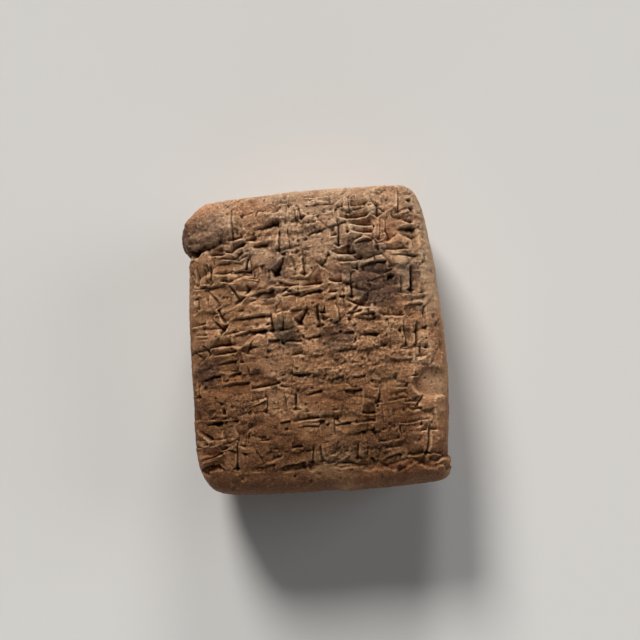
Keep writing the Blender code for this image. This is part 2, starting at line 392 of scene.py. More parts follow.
# Rows of plain strokes as (kind, head, angle, length): stacks of level strokes, uprights side by side,
# level strokes crossed by an upright, and slanting corner strokes. None is a sign.
def strokeRows():
    rng = random.Random(strokes["seed"])
    rows = []

    def level(x, y, length):
        rows.append(("level", (x, y), 180 + rng.uniform(-5, 5), length))

    def upright(x, y, length):
        rows.append(("upright", (x, y), 90 + rng.uniform(-6, 6), length))

    def corner(x, y):
        angle = rng.choice((55, 125)) + rng.uniform(-12, 12)
        rows.append(("corner", (x, y), angle, rng.uniform(2.2, 3.0)))

    height = strokes["pitch"] - strokes["gap"]
    for row in range(strokes["rows"]):
        foot = strokes["firstTop"] - (row + 1) * strokes["pitch"] + 0.7 * strokes["gap"]
        x = strokes["left"] + rng.uniform(0, 1.2)
        while x < strokes["right"] - 2.0:
            kind = rng.choice(("stack", "stack", "uprights", "crossed", "corner"))
            span = min(rng.uniform(2.8, 5.2), strokes["right"] - x)
            if kind == "stack":
                count = rng.randint(2, 3)
                for i in range(count):
                    y = foot + height * (i + 0.15) / count
                    level(x + span, y, span * rng.uniform(0.8, 1.0))
            elif kind == "uprights":
                span = 3.6
                for i in range(2):
                    upright(x + 0.7 + 1.8 * i, foot, height * rng.uniform(0.7, 0.95))
            elif kind == "crossed":
                level(x + span, foot + height * rng.uniform(0.1, 0.6), span)
                upright(x + span * rng.uniform(0.3, 0.7), foot, height * 0.95)
            else:
                span = 3.0
                corner(x + 1.4, foot + height * rng.uniform(0.05, 0.35))
            x += span + rng.uniform(0.5, 1.0)
    return rows


# Fainter strokes between the others, each near the direction of the stroke it lies beside
def companionsOf(rows, seed):
    rng = random.Random(seed)
    found = []
    for kind, (x, y), angle, length in rows:
        if rng.random() > strokes["companions"]:
            continue
        if kind == "level":
            head = (x + rng.uniform(-2.2, 1.2), y + rng.uniform(0.7, 1.4))
            if rng.random() < 0.55:
                found.append(("level", head, angle + rng.uniform(-11, 7), length * rng.uniform(0.4, 1.1)))
        elif kind == "upright":
            head = (x + rng.uniform(0.8, 1.1), y + rng.uniform(-0.2, 1.2))
            found.append(("upright", head, angle + rng.uniform(-4, 4), length * rng.uniform(0.5, 0.8)))
            head = (x + rng.uniform(0.5, 3.0), y + rng.uniform(2.0, 3.4))
            found.append(("level", head, 180 + rng.uniform(-6, 8), rng.uniform(1.6, 3.4)))
        else:
            head = (x + rng.uniform(1.4, 2.6), y + rng.uniform(0.2, 2.2))
            found.append(("corner", head, angle + rng.uniform(-20, 20), length * rng.uniform(0.6, 0.9)))
            head = (x + rng.uniform(1.0, 2.6), y - rng.uniform(0.1, 0.5))
            found.append(("level", head, 180 + rng.uniform(-5, 5), rng.uniform(2.0, 3.4)))
    return found


# Large facets all over, as of older strokes half smoothed away
def olderFacets():
    rng = random.Random(strokes["seed"] + 3)
    found = []
    for _ in range(strokes["olderFacets"]):
        head = (rng.uniform(strokes["left"], strokes["right"] + 1.0), rng.uniform(-23.0, 26.0))
        kind, angle = rng.choice(strokes["facetKinds"])
        found.append((kind, head, angle + rng.uniform(-12, 12), rng.uniform(3.5, 7.0)))
    return found


# Low plates of clay left between older strokes, in rows. The nearest of the scattered centres owns a
# place, and e is how much farther off the second nearest is. The plate's height there is
# (offset + tilt) * (1 - e^(-e / 0.2)) + dome * (1 - e^(-e / 0.8)), so a narrow crease runs round it.
def plates():
    rng = np.random.default_rng(strokes["seed"] + 6)
    rowStep, (shortest, longest), dome, offset = strokes["plates"]
    centres = []
    for y in np.arange(-25.0, 28.0, rowStep):
        steps = rng.uniform(shortest, longest, 20)
        x = np.cumsum(steps) - 26.0 + rng.uniform(0, longest)
        centres.append(np.stack([x, y + rng.uniform(-0.3, 0.3, len(x)) * rowStep], axis=1))
    centres = np.concatenate(centres)
    count = len(centres)
    rise = 0.1 * ramp(strayV - 0.5 * strayU, 2.0, 14.0)
    acrossRow = strayV[:faceCount, None] - (rise * strayU)[:faceCount, None] - centres[:, 1]
    alongRow = strayU[:faceCount, None] - centres[:, 0]
    far = np.hypot(0.55 * alongRow, acrossRow)
    owner = np.argmin(far, axis=1)
    nearest, second = np.partition(far, 1, axis=1)[:, :2].T
    e = second - nearest
    row = np.arange(faceCount)
    tilt = rng.uniform(-0.05, 0.05, count)[owner] * alongRow[row, owner]
    tilt += rng.uniform(-0.22, 0.22, count)[owner] * acrossRow[row, owner]
    own = rng.uniform(-offset, offset, count)[owner] + tilt
    found = np.zeros(vertexCount)
    found[:faceCount] = own * (1 - np.exp(-e / 0.2)) + dome * (1 - np.exp(-e / 0.8))
    return found


# Long shallow lines under the rows, in two to four lengths each
def rulings():
    rng = random.Random(strokes["seed"] + 2)
    found = []
    for row in range(strokes["rows"]):
        y = strokes["firstTop"] - (row + 1) * strokes["pitch"]
        x = strokes["right"] + 1.0
        while x > strokes["left"] + 4.0:
            length = rng.uniform(7.0, 16.0)
            head = (x, y + rng.uniform(-0.4, 0.4))
            angle = 180 + rng.uniform(-2.5, 2.5)
            found.append((head, angle, length, rng.uniform(2.5, 4.0)))
            x -= length * rng.uniform(0.8, 1.0)
    return found


# Whether a stroke may start at a place: not on the fold, beside the lip or in the scoop
def written(x, y):
    keepRight, keepAbove = marks["foldKeepOut"]
    onFold = x < marks["foldRight"] + keepRight and y > keepAbove
    besideLip = x > 16.0 and y < -17.4
    inScoop = x > 17.0 and abs(y - marks["scoop"][0][1]) < 3.0
    return not (onFold or besideLip or inScoop)


# How far the edges of strokes stray from true at each vertex
def wander(seed):
    return sum(far * unevenness(base, size, seed + k) for k, (far, size) in enumerate(strokes["wander"]))


placeU, placeV = layout["places"].T
strayU, strayV = placeU + wander(81), placeV + wander(91)


# One stroke pressed into the relief. Along it a runs from the head to the tail, and b to its broad side.
# The line they follow bends by bend * (a / L)^2. The bottom is D * (1 - (a / L)^full) deep, or D + end * a
# in front of the head. Over the broad width W, which narrows with the bottom, the clay rises like a pillow
# with a narrow crack at its foot, bottom * (0.5 * (1 - b / W)^2 + 0.5 * e^(-b / 0.24)), and a fine line in
# it. On the other side it rises steeply and swells into a rounded rim, R * e^(-(distance / 0.5)^2). A head
# with a flare F is a pit of D * (1.25 - a / F) - 0.9 * |b| * D / F besides. A stroke closes most of the
# deeper ones that it lies over.
def press(relief, plain, head, angle, length, depth, broad, turned=False,
          full=2.2, end=2.2, steep=3.2, flare=0.0, bend=0.0):
    c, s = math.cos(math.radians(angle)), math.sin(math.radians(angle))
    start = faceVertex(*head)
    reach = max(length, broad) + 0.9
    offU, offV = np.abs(placeU - placeU[start]), np.abs(placeV - placeV[start])
    near = np.flatnonzero(np.maximum(offU, offV) < reach)
    dx, dy = strayU[near] - placeU[start], strayV[near] - placeV[start]
    a = dx * c + dy * s
    b = (dx * s - dy * c) if turned else (dy * c - dx * s)
    b = b + bend * np.clip(a / length, 0, 1) ** 2
    bottom = np.minimum(depth * (1 - (np.maximum(a, 0) / length) ** full), depth + end * a)
    share = np.clip(bottom / depth, 0, 1)
    width = broad * (0.35 + 0.65 * share ** 0.7)
    rest = 1 - np.maximum(b, 0) / width
    pillow = 0.5 * rest * np.abs(rest) + 0.5 * np.exp(-np.maximum(b, 0) / 0.24) * (rest > 0)
    inside = np.where(b > 0, bottom * pillow, bottom + steep * b)
    inside += 0.12 * share * np.exp(-(b / 0.16) ** 2)
    if flare:
        pit = np.minimum(depth * (1.25 - a / flare), depth + end * a) - 0.9 * depth / flare * np.abs(b)
        inside = np.maximum(inside, pit)
    over = (inside > 0) & (bottom > 0)
    pressed = plain[near] - inside
    cut = np.minimum(relief[near], pressed)
    closed = strokes["closing"] * ramp(np.minimum(rest, 3 * share), 0, 0.25)
    rim = strokes["rim"] * share * np.exp(-((inside / steep / 0.5) ** 2)) * (b < 0.1)
    relief[near] = np.where(over, cut + closed * (pressed - cut), relief[near] + rim)


# Presses strokes: level ones from the lower edge upwards, then corner ones, then uprights. Their depth is
# strength * (0.45 + 1.1 r^2), with r at random from 0 to 1, times 0.7 below to 1.55 above. Some are left
# out at random, and so are those that would run into the fold.
def pressAll(relief, plain, found, strength, seed):
    rng = random.Random(seed)
    turns = {"level": 0, "corner": 1, "upright": 2}
    clearRight, clearAbove = marks["foldClear"]
    for kind, head, angle, length in sorted(found, key=lambda stroke: (turns[stroke[0]], stroke[1][1])):
        depth = strength * (0.45 + 1.1 * rng.random() ** 2)
        depth *= 0.7 + 0.85 * ramp(head[1], -14.0, 10.0)
        broadBelow = rng.random() < 0.6
        broad = rng.uniform(0.6, 1.6)
        longer = rng.uniform(0.95, 1.5)
        bend = rng.uniform(-0.9, 0.5)
        if not written(*head) or rng.random() < strokes["leftOut"]:
            continue
        if head[0] < marks["foldRight"] + clearRight and head[1] > clearAbove:
            continue
        if kind == "level":
            angle += strokes["rise"] * ramp(head[1] - 0.5 * head[0], 2.0, 14.0)
            press(relief, plain, head, angle, longer * length, depth, 3.3 * broad, not broadBelow,
                  full=2.6, bend=bend)
        elif kind == "upright":
            press(relief, plain, head, angle, longer * length, 0.95 * depth, 1.8 * broad, broadBelow,
                  full=2.0, steep=4.2, flare=0.8)
        else:
            press(relief, plain, head, angle, 1.5 * length, depth, 3.2 * broad, angle < 90,
                  full=1.5, steep=1.8, flare=1.2, bend=bend)


# Small pits anywhere, each down by depth * (1 - (distance / radius)^2)^1.5, and larger shallow chips
def addPits(relief):
    rng = np.random.default_rng(71)
    relief = relief.copy()
    for number in range(marks["pits"] + marks["chips"]):
        centre = base[rng.integers(vertexCount)]
        chip = number >= marks["pits"]
        radius = rng.uniform(0.7, 1.7) if chip else 0.22 + 0.4 * rng.random() ** 3
        depth = 0.22 * radius if chip else rng.uniform(0.5, 0.9) * radius
        near = np.flatnonzero(np.abs(base - centre).max(axis=1) < radius * 1.4)
        distance = np.linalg.norm((base[near] - centre) * rng.uniform(0.75, 1.3, 3), axis=1) / radius
        if chip:
            distance += 0.25 * unevenness(base[near], 0.8, 72)
        relief[near] -= depth * np.maximum(1 - distance ** 2, 0) ** (0.6 if chip else 1.5)
    return relief


# A hollow's depth inside a ragged ellipse: D * (1 + side) / 2, where side grows from -1 to 1 towards its
# steep side, but no more than 2.6 * D * (1 - distance). The brim is raised by
# B * e^(-((distance - 1) / 0.15)^2) on that side, and it is open on the other.
def hollowDepth(place, radii, depth, brim, steepSide):
    stray = 0.13 * layers(base, 2.2, 95, 3)
    across, along = (base[:, 0] - place[0]) / radii[0], (base[:, 1] - place[1]) / radii[1]
    distance = np.hypot(across, along) + stray
    side = across * steepSide[0] + along * steepSide[1]
    onFace = ramp(base[:, 2], 13.0, 17.0)
    deep = depth * np.clip(np.minimum((1 + side) / 2, 2.6 * (1 - distance)), 0, 1)
    raised = brim * np.exp(-(((distance - 1) / 0.15) ** 2)) * ramp(side, -0.1, 0.7)
    return (deep - raised) * onFace


# The folded flap of clay. Its foot is a ragged line, height + slope * (x - right), and its right side fades
# towards the upper edge. It rises to 0.4 of its height at the foot and fully 1.7 mm farther in.
def foldShape():
    x, y, z = base.T
    footHeight, slope = marks["foldFoot"]
    foot = footHeight + slope * (x - marks["foldRight"]) + 0.3 * layers(base, 1.6, 21, 2)
    fading = 3.0 * ramp(y, 20.5, 24.0)
    fromRight = marks["foldRight"] - x + 0.2 * layers(base, 1.5, 22, 2)
    besideFold = ramp(fromRight, -0.05 - fading, 0.25 + fading)
    highEnough = ramp(z + 1.5 * unevenness(base, 2.0, 23), 10.5, 14.5)
    onFold = besideFold * highEnough * ramp(y - foot, -0.05, 0.4)
    bulge = 0.4 * onFold + 0.6 * besideFold * highEnough * ramp(y - foot, 0, 1.7)
    return foot, highEnough, onFold, bulge


# The face with everything that was pressed into it, oldest first
def pressFace(plain):
    relief = plain.copy()
    for head, angle, length, broad in rulings():
        press(relief, plain, head, angle, length, 0.5, broad, turned=True, full=4.0, end=0.6)
    for kind, head, angle, length in olderFacets():
        if written(*head):
            press(relief, plain, head, angle, length, 1.0, 3.8, kind != "upright" and angle < 178, full=2.0)
    pressAll(relief, plain, companionsOf(strokeRows(), seed=12), strength=0.8, seed=51)
    pressAll(relief, plain, strokeRows(), strength=1.0, seed=52)
    for kind, head, angle, length, depth, width in strokes["deep"]:
        flare = 0.9 if kind == "upright" else 0
        press(relief, plain, head, angle, length, depth, width, kind != "upright", full=1.6, flare=flare)
    return relief


# The smooth band along the lower edge and the smooth strip along the right one. Inside their ragged
# borders 0.15 of the relief is left, and how far they stand is added.
def addBands(relief, slow, onFace):
    x, y, z = base.T
    ledgeTop, ledgeRise = marks["ledge"]
    ragged = ledgeTop - 0.06 * x + 0.8 * layers(base, 3.2, 31, 4)
    onLedge = ramp(ragged - y, 0, 0.22) * ramp(z, 9.0, 12.0)
    relief = relief * (1 - 0.85 * onLedge) + onLedge * (ledgeRise * ramp(x, 0.5, 4.0) + 0.05)
    swell, swellMiddle, swellReach = marks["bandSwell"]
    swell = swell * np.exp(-(((y - swellMiddle) / swellReach) ** 2)) * ramp(z, 10.0, 14.0)
    relief += onLedge * swell * ramp(22.0 - x, 0, 8.0)
    stripStart, stripRise = marks["strip"]
    stripStart = stripStart + 0.35 * unevenness(base, 4.0, 33)
    onStrip = 0.85 * ramp(x, stripStart, stripStart + 0.5) * onFace * ramp(y, -21.5, -19.5)
    return relief * (1 - onStrip) + onStrip * (slow + stripRise * ramp(20.0 - y, 0, 4.0)), onLedge


# Wear: the relief r is sharpened to r + 0.5 * (r - evened r), but in the worn patches it is mostly evened
# out, with grains standing free
def wearDown(relief, onFace, onFold):
    x, y, _ = base.T
    worn = np.zeros(vertexCount)
    for centre, radii, strength in marks["eroded"]:
        worn = np.maximum(worn, strength * within(x, y, centre, radii, 0.7))
    worn += 0.5 * layers(base, 4.0, 41, 3) * ramp(worn, 0, 0.3) + 0.25 * unevenness(base, 6, 44)
    worn = np.clip(worn, 0, 1) * onFace * (1 - 0.4 * onFold)
    crisp = relief + 0.5 * (relief - evened(relief, 2))
    relief = crisp * (1 - 0.7 * worn) + evened(relief, 14) * 0.7 * worn
    grains = unevenness(base, 0.66, 61) + 0.9 * unevenness(base, 0.42, 62)
    relief += (0.07 + 0.12 * worn) * grains + 0.05 * unevenness(base, 1.3, 63)
    relief -= (0.03 + 0.2 * worn) * ramp(unevenness(base, 0.8, 64), 0.25, 0.6)
    return relief, worn, grains


# The raised lip at the lower right corner: H * e^(-distance^2) below a slanting ragged line, with a crack
# 0.35 deep along it
def lipHeight():
    x, y, z = base.T
    (lipX, lipY), (lipWide, lipLong), lipRise = marks["lip"]
    distance = np.hypot((x - lipX) / lipWide, (y - lipY) / lipLong)
    above = y - lipY - 1.3 - 0.35 * (x - lipX) + 0.35 * layers(base, 1.8, 97, 3)
    lip = lipRise * ramp(-above, 0, 0.45) * (1 - 0.4 * ramp(-above, 0.3, 2.5))
    lip -= 0.35 * np.exp(-((above / 0.22) ** 2))
    return lip * np.exp(-distance ** 2) * ramp(z, 8.0, 12.0)


# Height of the clay over the plain lump, in mm: slow unevenness and the fold, strokes, plates of clay
# between them, the crevice under the fold and the cut beside it, smooth bands, wear, hollows, lip and pits
def makeRelief():
    x, y, _ = base.T
    onFace = ramp(normals[:, 2], 0.15, 0.6)
    foot, highEnough, onFold, bulge = foldShape()
    slow = 0.16 * layers(base, 13.0, 3, 2) + (0.05 + 0.2 * onFace) * layers(base, 3.6, 8, 2)
    slow += onFold * (0.16 * layers(base, 1.5, 25, 4) + 0.1 * layers(base, 0.55, 30, 2))
    plain = slow + marks["foldRise"] * bulge * (1 - 0.9 * ramp(y, 22.0, 26.0))
    relief = pressFace(plain)

    untouched = np.maximum(onFold, 0.8 * ramp(-x, 21.3, 22.5))      # the fold and the left edge
    relief += 0.9 * untouched * (plain - relief)
    patchy = (0.3 + 0.7 * ramp(layers(base, 6.0, 26, 2), -0.35, 0.25)) * (0.7 + 0.5 * ramp(y, -16.0, 6.0))
    relief += (plates() - 0.25) * onFace * patchy * (1 - 0.5 * onFold)
    crevice = np.exp(-(((y - foot + 0.5) / (0.3 + 0.35 * ramp(-x, 15.5, 20.5))) ** 2))
    crevice *= ramp(marks["foldRight"] + 0.4 - x, 0, 1.2) * (1 + 0.5 * unevenness(base, 0.9, 24))
    relief -= crevice * highEnough * (0.35 + 0.9 * ramp(-x, 15.5, 19.5) * ramp(x, -23.0, -21.0))
    cut = np.exp(-(((x - marks["foldRight"]) / 0.2) ** 2)) * ramp(y, 16.6, 18.0) * ramp(24.8 - y, 0, 1.4)
    relief -= 0.6 * cut * onFace

    relief, onLedge = addBands(relief, slow, onFace)
    relief, worn, grains = wearDown(relief, onFace, onFold)
    scoop, dent = hollowDepth(*marks["scoop"]), hollowDepth(*marks["dent"])
    relief += 0.95 * ramp(scoop, 0, 0.35) * (slow - relief) - scoop     # a thumb closed what it pressed
    relief -= dent * (1 + 0.6 * grains)
    relief += lipHeight()
    return addPits(relief), worn, np.maximum(onLedge, 0.15 * onFold)


relief, worn, smooth = makeRelief()
points = base + normals * relief[:, None]
points[:, 2] = np.maximum(points[:, 2], 0)
print("strokes, wear and pits pressed")

# Where colour changes on the face: place, radii, strength. Lengths in mm.
tints = {
    # Stains, and in the last two patches, on the fold and left of the middle, painted shade where less
    # light falls
    "stainAndShade": (
        ((12.1, 8.5), (4.4, 4.0), 1.2),
        ((9.9, 14.4), (3.6, 1.8), 0.8),
        ((18.2, 9.1), (1.4, 3.6), 0.8),
        ((4.2, -0.2), (2.9, 2.8), 0.9),
        ((-18.8, -4.6), (2.2, 2.8), 1.1),
        ((-5.6, 12.1), (2.2, 1.8), 0.8),
        ((-12.8, 16.2), (3.4, 1.8), 0.5),
        ((-21.9, 19.6), (2.7, 3.6), 1.1),
        ((-18.5, 20.2), (5.2, 3.2), 0.55),
        ((-7.0, -5.0), (5.0, 5.5), 0.3),
    ),
    "grey": (
        ((-4.7, 0.9), (2.0, 2.8), 1.6),
        ((4.0, -21.0), (3.0, 2.2), 0.4),
        ((-15.5, -14.5), (3.0, 1.2), 0.3),
    ),
    "red": (
        ((-21.5, 24.0), (2.6, 3.4), 0.7),
        ((-19.0, 24.6), (4.6, 1.6), 0.55),
        ((-9.0, 24.3), (4.0, 1.5), 0.5),
        ((13.5, 17.0), (3.0, 2.0), 0.4),
        ((11.0, -24.4), (7.0, 1.2), 0.6),
        ((-19.5, -20.0), (2.4, 2.4), 0.5),
        ((-14.0, -7.5), (4.0, 2.2), 0.35),
    ),
    # Pale dust, partly real and partly painted light: the patches along the upper edge, in the scoop and
    # along the right edge stand in for light falling there
    "dustAndLight": (
        ((4.0, 29.0), (28.0, 2.9), 0.6),
        ((20.8, -10.2), (2.2, 1.8), 0.4),
        ((23.4, 12.0), (1.4, 13.0), 0.5),
        ((16.4, 9.6), (1.3, 3.4), 0.9),
        ((21.6, 9.0), (1.6, 9.0), 0.6),
        ((19.6, 4.0), (1.4, 1.4), 0.6),
        ((2.5, -22.8), (8.0, 2.2), 0.55),
    ),
}


# The strongest of a tint's patches at each vertex, with ragged borders
def tintOf(kind, seed):
    x, y, z = base.T
    strayX, strayY = 0.9 * layers(base, 2.6, seed, 4), 0.9 * layers(base, 2.6, seed + 4, 4)
    found = np.zeros(vertexCount)
    for centre, radii, strength in tints[kind]:
        found = np.maximum(found, strength * within(x + strayX, y + strayY, centre, radii, 0.45))
    return found * ramp(z, 7.0, 11.0)


# How far each point lies under or over its surroundings, 0.5 where it is level with them
def standing(rounds, span):
    height = ((points - base) * normals).sum(axis=1)
    return np.clip(0.5 + (height - evened(height, rounds)) / span, 0, 1)


# A new object in the scene
def addObject(name, data):
    made = bpy.data.objects.new(name, data)
    bpy.context.scene.collection.objects.link(made)
    return made


tablet = bpy.data.meshes.new("tabletClay")
tablet.vertices.add(vertexCount)
tablet.vertices.foreach_set("co", (points * mm).ravel())
corners = np.concatenate([quads.ravel(), triangles.ravel()])
sizes = np.concatenate([np.full(len(quads), 4), np.full(len(triangles), 3)])
tablet.loops.add(len(corners))
tablet.loops.foreach_set("vertex_index", corners)
tablet.polygons.add(len(sizes))
tablet.polygons.foreach_set("loop_start", np.concatenate([[0], np.cumsum(sizes)[:-1]]))
bakeMap = tablet.uv_layers.new(name="OFBake")
spots = np.concatenate([layout["quadMaps"].ravel(), layout["triangleMaps"].ravel()])
bakeMap.uv.foreach_set("vector", spots)
# hollows and shelter steer the painted shade in creases and low places, and hollows also the painted
# highlight on ridges
shown = {
    "hollows": standing(5, 0.28),
    "shelter": standing(60, 1.1),
    "worn": worn,
    "smooth": smooth,
    "stainAndShade": tintOf("stainAndShade", 101),
    "grey": tintOf("grey", 111),
    "red": tintOf("red", 131),
    "dustAndLight": tintOf("dustAndLight", 121),
}
for name, values in shown.items():
    tablet.attributes.new(name, "FLOAT", "POINT").data.foreach_set("value", values.astype(np.float32))
tablet.update(calc_edges=True)
tablet.validate()
tablet.shade_smooth()
tabletPiece = addObject("carvedTablet", tablet)
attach(tabletPiece, "root")
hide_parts("clay_tablet")
print("tablet made")

# The clay's finish. Colours are linear.
finish = {
    "pinkTan": (0.39, 0.235, 0.145, 1),
    "paleTan": (0.56, 0.38, 0.245, 1),
    "orangeBrown": (0.34, 0.175, 0.082, 1),
    "deepBrown": (0.23, 0.105, 0.05, 1),
    # dark grit, and the painted shade laid into the hollows and low places
    "darkGritAndShade": (0.075, 0.043, 0.026, 1),
    # pale worn clay, also laid on the ridges as a painted highlight, and the colour of pale grains
    "wearAndHighlight": (0.74, 0.54, 0.38, 1),
    "stainAndShade": (0.27, 0.235, 0.25, 1),        # what stains leave of the colour under them, and painted shade on the fold and left of the middle
    "grey": (0.34, 0.38, 0.40, 1),
    "red": (0.52, 0.22, 0.11, 1),
    # pale dust, also used as painted light on the upper edge, the right edge and in the scoop
    "dustAndLight": (0.60, 0.45, 0.31, 1),
    "paleGrit": (0.46, 0.32, 0.205, 1),
    "pore": (0.022, 0.014, 0.010, 1),
    "upperTintAndLight": (1.14, 1.08, 0.99, 1),      # the whole finish is multiplied by these: partly tone, partly painted light above and painted shade below
    "middleTint": (1.14, 0.95, 0.75, 1),
    "lowerTintAndShade": (0.50, 0.33, 0.172, 1),
}


# A node with its settings; an input that is a socket is linked, and any other is set
def addNode(tree, kind, inputs=None, **settings):
    made = tree.nodes.new("ShaderNode" + kind)
    for name, value in settings.items():
        setattr(made, name, value)
    for key, value in (inputs or {}).items():
        if isinstance(value, bpy.types.NodeSocket):
            tree.links.new(value, made.inputs[key])
        else:
            made.inputs[key].default_value = value
    return made


# Colour a where factor is 0 and b where it is 1
def mixColours(tree, factor, a, b):
    return addNode(tree, "Mix", {0: factor, 6: a, 7: b}, data_type="RGBA").outputs[2]


# Colours of the finish laid over one another, each as far as its cover says
def layOver(tree, colour, covers):
    for cover, name in covers:
        colour = mixColours(tree, cover, colour, finish[name])
    return colour


# The colour where factor is 0, and multiplied by a tint where it is 1
def darken(tree, factor, colour, tint):
    inputs = {0: factor, 6: colour, 7: tint}
    return addNode(tree, "Mix", inputs, data_type="RGBA", blend_type="MULTIPLY").outputs[2]


# A value moved from the span (low, high) to (start, end), and held there
def remap(tree, value, low, high, start=0.0, end=1.0):
    if low > high:
        low, high, start, end = high, low, end, start
    return addNode(tree, "MapRange", {"Value": value, 1: low, 2: high, 3: start, 4: end}).outputs["Result"]


# Sum, larger one or the like of two values
def calculate(tree, operation, a, b):
    return addNode(tree, "Math", {0: a, 1: b}, operation=operation).outputs[0]


def times(tree, a, b):
    return calculate(tree, "MULTIPLY", a, b)


# Noise whose grains are about this many mm across
def noise(tree, where, size, detail=3.0, roughness=0.55, distortion=0.0):
    inputs = {"Vector": where, "Scale": 1 / (size * mm), "Detail": detail,
              "Roughness": roughness, "Distortion": distortion}
    return addNode(tree, "TexNoise", inputs).outputs["Fac"]


# Round specks in some of the cells of a Voronoi pattern, 1 inside and 0 outside
def specks(tree, where, spacing, radius):
    pattern = addNode(tree, "TexVoronoi", {"Vector": where, "Scale": 1 / (spacing * mm)}).outputs
    chance = addNode(tree, "SeparateColor", {"Color": pattern["Color"]}).outputs[0]
    limit = remap(tree, chance, 0.35, 1.0, 0.0, radius / spacing)
    beyond = calculate(tree, "SUBTRACT", pattern["Distance"], limit)
    return remap(tree, beyond, -0.07, 0.03, 1.0, 0.0)


# What the mesh says of a place, such as how worn it is
def attribute(tree, name):
    return addNode(tree, "Attribute", attribute_name=name).outputs["Fac"]


# A tint's patches, weaker where a noise is low
def brokenUp(tree, name, texture, low, high, least, most):
    return times(tree, attribute(tree, name), remap(tree, texture, low, high, least, most))


# Coordinates moved, turned or stretched
def moved(tree, where, **changes):
    return addNode(tree, "Mapping", {"Vector": where, **changes}).outputs["Vector"]


# Fired clay: tan above and orange brown below, brighter at the top and darker towards the bottom partly as
# painted light and shade. Painted shade darkens the hollows and low places, and the ridges are paled,
# partly as wear and partly as a painted highlight. It has pores, grains of grit, stains and dust; some
# stained patches are painted shade and some dusty ones painted light. It is matt, and a little smoother
# where fingers pressed it flat.
def makeClay():
    material = bpy.data.materials.new("firedClay")
    material.use_nodes = True
    tree = material.node_tree
    shader = tree.nodes["Principled BSDF"]
    where = addNode(tree, "TexCoord").outputs["Object"]
    place = addNode(tree, "SeparateXYZ", {"Vector": where}).outputs
    height = calculate(tree, "ADD", place["Y"], times(tree, place["X"], 0.35))

    slow = noise(tree, where, 11, 2)
    blotch = noise(tree, where, 3.4, 4, 0.6, 0.4)
    mottle = noise(tree, where, 0.9, 4, 0.65)
    grit = noise(tree, where, 0.26, 3, 0.75)
    hollows, shelter = attribute(tree, "hollows"), attribute(tree, "shelter")
    wornHere, smoothHere = attribute(tree, "worn"), attribute(tree, "smooth")
    fromBelow = remap(tree, height, -0.020, 0.024)
    upper = calculate(tree, "ADD", fromBelow, remap(tree, slow, 0.3, 0.7, -0.35, 0.35))
    # Painted shade: the hollows and the low places are darkened towards the dark grit colour, as if shade
    # fell there
    paintedShade = calculate(tree, "MAXIMUM", remap(tree, hollows, 0.42, 0.10, 0, 0.75),
                      remap(tree, shelter, 0.40, 0.05, 0, 0.4))
    colour = mixColours(tree, remap(tree, upper, 0.1, 0.9), finish["orangeBrown"], finish["pinkTan"])
    colour = layOver(tree, colour, (
        (remap(tree, blotch, 0.50, 0.70, 0, 0.85), "paleTan"),
        (remap(tree, blotch, 0.50, 0.28, 0, 0.7), "deepBrown"),
        (remap(tree, mottle, 0.52, 0.75, 0, 0.45), "paleTan"),
        (remap(tree, mottle, 0.48, 0.25, 0, 0.55), "deepBrown"),
        (paintedShade, "darkGritAndShade"),
        # Painted highlight, partly wear: the ridges standing over their surroundings are paled
        (remap(tree, hollows, 0.56, 0.85, 0, 0.85), "wearAndHighlight"),
        (brokenUp(tree, "red", blotch, 0.3, 0.6, 0.35, 0.9), "red"),
        # pale patches, partly dust and partly painted light
        (brokenUp(tree, "dustAndLight", blotch, 0.35, 0.6, 0.35, 0.9), "dustAndLight"),
    ))
    # Tone multiplied over the whole finish, partly the clay's own and partly painted light and shade:
    # brighter at the top, darker and more orange towards the bottom
    toneAndShade = mixColours(tree, remap(tree, upper, 0.06, 0.5), finish["lowerTintAndShade"], finish["middleTint"])
    toneAndShade = mixColours(tree, remap(tree, upper, 0.5, 0.95), toneAndShade, finish["upperTintAndLight"])
    colour = darken(tree, 1.0, colour, toneAndShade)

    pores = times(tree, specks(tree, where, 0.95, 0.25), remap(tree, blotch, 0.42, 0.60, 0.1, 1.0))
    finePores = specks(tree, where, 0.5, 0.13)
    paleGrains = specks(tree, moved(tree, where, Location=(0.013, 0.007, 0.003)), 0.7, 0.12)
    gritty = remap(tree, wornHere, 0, 0.6, 0.5, 0.85)
    colour = layOver(tree, colour, (
        (times(tree, remap(tree, grit, 0.47, 0.34), gritty), "darkGritAndShade"),
        (times(tree, remap(tree, grit, 0.53, 0.66, 0, 0.75), gritty), "paleGrit"),
        (times(tree, paleGrains, 0.3), "wearAndHighlight"),
    ))
    # Stains and grey patches darken the colour; some of the stained patches are painted shade
    for name, low, high, least in (("stainAndShade", 0.36, 0.56, 0.5), ("grey", 0.3, 0.6, 0.4)):
        colour = darken(tree, brokenUp(tree, name, mottle, low, high, least, 1.0), colour, finish[name])
    for holes, most in ((pores, 0.9), (finePores, 0.7)):
        colour = mixColours(tree, times(tree, holes, most), colour, finish["pore"])
    tree.links.new(colour, shader.inputs["Base Color"])

    rough = remap(tree, smoothHere, 0, 1, 0.9, 0.66)
    rough = calculate(tree, "ADD", rough, remap(tree, mottle, 0.3, 0.7, -0.07, 0.07))
    tree.links.new(rough, shader.inputs["Roughness"])
    shader.inputs["Specular IOR Level"].default_value = 0.35

    drawnOut = moved(tree, where, Rotation=(0, 0, 0.06), Scale=(0.14, 1, 1))
    fingerLines = noise(tree, drawnOut, 0.45, 3)
    surface = noise(tree, where, 0.75, 5, 0.7)
    for texture, weight in ((grit, 1.3), (fingerLines, 0.5), (pores, -1.6), (finePores, -1.0)):
        surface = calculate(tree, "ADD", surface, times(tree, texture, weight))
    strength = remap(tree, smoothHere, 0, 1, 1.0, 0.55)
    bump = addNode(tree, "Bump", {"Height": surface, "Strength": strength, "Distance": 0.3 * mm})
    tree.links.new(bump.outputs["Normal"], shader.inputs["Normal"])
    return material


tablet.materials.append(makeClay())
print("clay finished")

